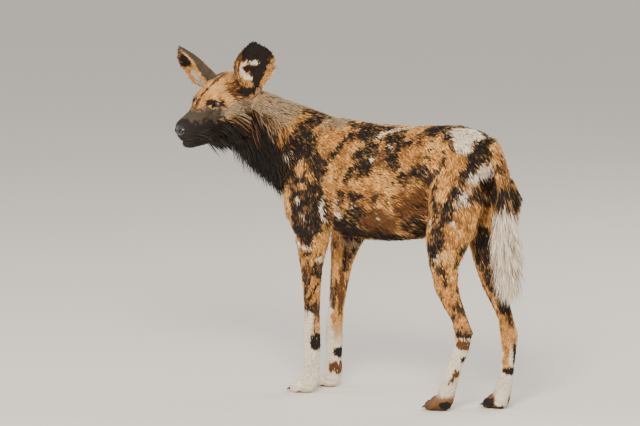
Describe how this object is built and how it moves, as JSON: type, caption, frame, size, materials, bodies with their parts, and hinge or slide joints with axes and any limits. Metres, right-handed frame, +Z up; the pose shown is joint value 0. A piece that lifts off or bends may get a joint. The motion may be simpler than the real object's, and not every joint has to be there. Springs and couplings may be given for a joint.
{
  "type": "african wild dog model",
  "caption": "Life-size still model of an African wild dog standing with its head turned to its left, ears up and tail hanging, its blotched coat in dark, tan and white.",
  "frame": {"origin": "middle of the bounding box, on the floor under the paws", "axes": "+X from head to tail, +Z up, the dog's left side towards -Y"},
  "size_m": [1.045, 0.364, 0.8602],
  "materials": {
    "coat_tan": "short coat, matte",
    "coat_dark": "short coat, matte",
    "coat_pale": "long hair, matte",
    "nose": "moist, finely pebbled",
    "eye": "polished"
  },
  "bodies": {
    "root": {"head": "coat_tan", "neck": "coat_dark", "torso": "coat_tan", "tail": "coat_pale", "leg_front_left": "coat_tan", "leg_front_right": "coat_tan", "leg_hind_left": "coat_tan", "leg_hind_right": "coat_tan", "ear_left": "coat_dark", "ear_right": "coat_dark", "eye_left": "eye", "eye_right": "eye", "nose_pad": "nose"}
  },
  "joints": []
}
